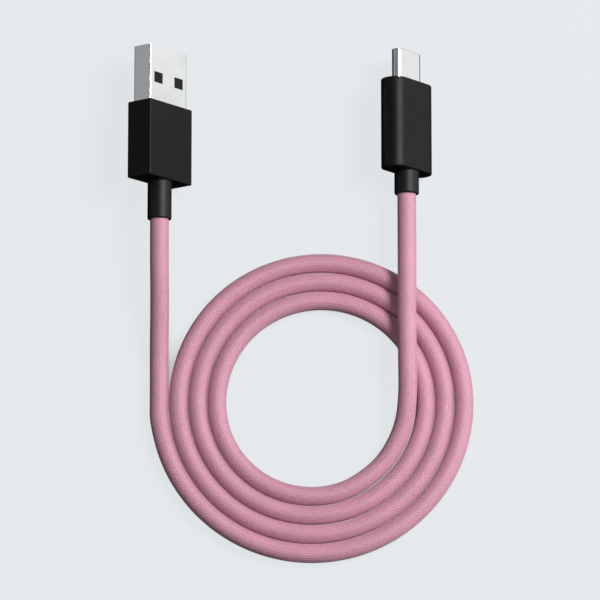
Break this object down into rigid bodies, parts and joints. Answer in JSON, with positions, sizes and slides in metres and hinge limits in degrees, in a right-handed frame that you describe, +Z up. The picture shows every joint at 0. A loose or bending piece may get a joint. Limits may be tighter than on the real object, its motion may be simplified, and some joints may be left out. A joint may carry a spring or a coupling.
{
  "type": "charging cable",
  "caption": "Braided charging cable in a flat coil, with a wide rectangular host plug at one end and a slim rounded device plug at the other.",
  "frame": {"origin": "on the surface that the cable lies on, midway between the two plugs", "axes": "+X from the host plug towards the device plug, +Y the way both plugs point, +Z up"},
  "size_m": [0.072, 0.1079, 0.0145],
  "materials": {
    "braid": "fine pink polyester braid",
    "housing_plastic": "satin moulded black",
    "relief_plastic": "satin flexible black",
    "inner_jacket": "smooth black",
    "plug_steel": "bright plated",
    "insulator_plastic": "moulded black",
    "tinned_sheet": "tinned sheet",
    "spring_steel": "bright spring steel",
    "gold_contact": "gold plated",
    "mould_plastic": "moulded black",
    "board": "green solder mask",
    "resistor": "black with tinned ends",
    "wire_red": "insulated wire",
    "wire_white": "insulated wire",
    "wire_green": "insulated wire",
    "wire_black": "insulated wire"
  },
  "bodies": {
    "cable_assembly": {"host_plug_housing": "housing_plastic", "host_plug_strain_relief": "relief_plastic", "host_plug_braid_end": "braid", "host_plug_inner_jacket": "inner_jacket", "host_plug_shell": "plug_steel", "host_plug_insulator": "insulator_plastic", "host_plug_shield_upper": "tinned_sheet", "host_plug_shield_lower": "tinned_sheet", "host_plug_crimp_ferrule": "tinned_sheet", "host_plug_inner_mould": "mould_plastic", "host_plug_contact_power": "gold_contact", "host_plug_contact_data_minus": "gold_contact", "host_plug_contact_data_plus": "gold_contact", "host_plug_contact_ground": "gold_contact", "host_plug_wire_red": "wire_red", "host_plug_wire_white": "wire_white", "host_plug_wire_green": "wire_green", "host_plug_wire_black": "wire_black", "device_plug_housing": "housing_plastic", "device_plug_strain_relief": "relief_plastic", "device_plug_braid_end": "braid", "device_plug_inner_jacket": "inner_jacket", "device_plug_tip_shell": "plug_steel", "device_plug_insulator": "insulator_plastic", "device_plug_contacts_upper": "gold_contact", "device_plug_contacts_lower": "gold_contact", "device_plug_ground_spring_upper": "spring_steel", "device_plug_ground_spring_lower": "spring_steel", "device_plug_latch_frame": "spring_steel", "device_plug_board": "board", "device_plug_pull_up_resistor": "resistor", "device_plug_shield_upper": "tinned_sheet", "device_plug_shield_lower": "tinned_sheet", "device_plug_crimp_ferrule": "tinned_sheet", "device_plug_inner_mould": "mould_plastic", "device_plug_wire_red": "wire_red", "device_plug_wire_white": "wire_white", "device_plug_wire_green": "wire_green", "device_plug_wire_black": "wire_black", "cable_run_host": "braid", "cable_coil": "braid", "cable_run_device": "braid"},
    "latch_left": {"device_plug_latch_left": "spring_steel"},
    "latch_right": {"device_plug_latch_right": "spring_steel"}
  },
  "joints": [
    {"name": "latch_left_flex", "type": "hinge", "parent": "cable_assembly", "child": "latch_left", "pos_m": [0.02432, 0.01195, 0.00869], "axis": [0.788, 0, 0.6157], "range_deg": [0, 2.2], "stiffness_Nm_per_rad": 0.05},
    {"name": "latch_right_flex", "type": "hinge", "parent": "cable_assembly", "child": "latch_right", "pos_m": [0.02851, 0.01195, 0.00332], "axis": [-0.788, 0, -0.6157], "range_deg": [0, 2.2], "stiffness_Nm_per_rad": 0.05}
  ]
}
